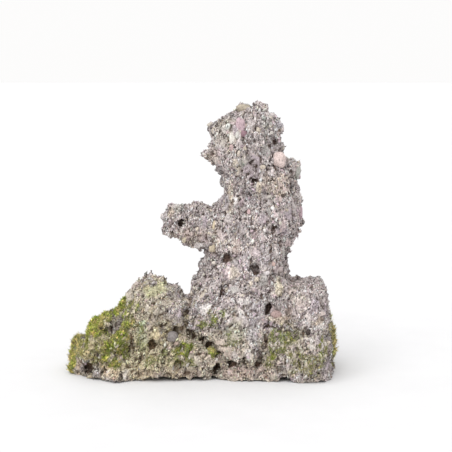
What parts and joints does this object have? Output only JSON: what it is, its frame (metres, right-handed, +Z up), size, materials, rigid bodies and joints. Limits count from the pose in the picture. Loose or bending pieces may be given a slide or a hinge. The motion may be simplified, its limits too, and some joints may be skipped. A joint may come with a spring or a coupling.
{
  "type": "ibigawa rock",
  "caption": "Free-standing porous conglomerate rock with a tall pillar, a blunt side arm and a long low foot, with moss cushions on its shoulders and lower front.",
  "frame": {"origin": "on the flat underside, at its middle from left to right and between its front and back", "axes": "+Z up, the broad show face with the arm on its left looks to -Y, +X to the show face's right"},
  "size_m": [0.2556, 0.1148, 0.2501],
  "materials": {
    "stone": "rough grey-pink conglomerate with pale and purple pebbles, matt",
    "moss": "living moss in short upright shoots, green to straw yellow"
  },
  "bodies": {
    "root": {"rock": "stone", "moss_left_crest": "moss", "moss_left_end": "moss", "moss_left_face": "moss", "moss_front_tuft": "moss", "moss_centre_face": "moss", "moss_shelf_tuft": "moss", "moss_right_face": "moss", "moss_right_end": "moss"}
  },
  "joints": []
}
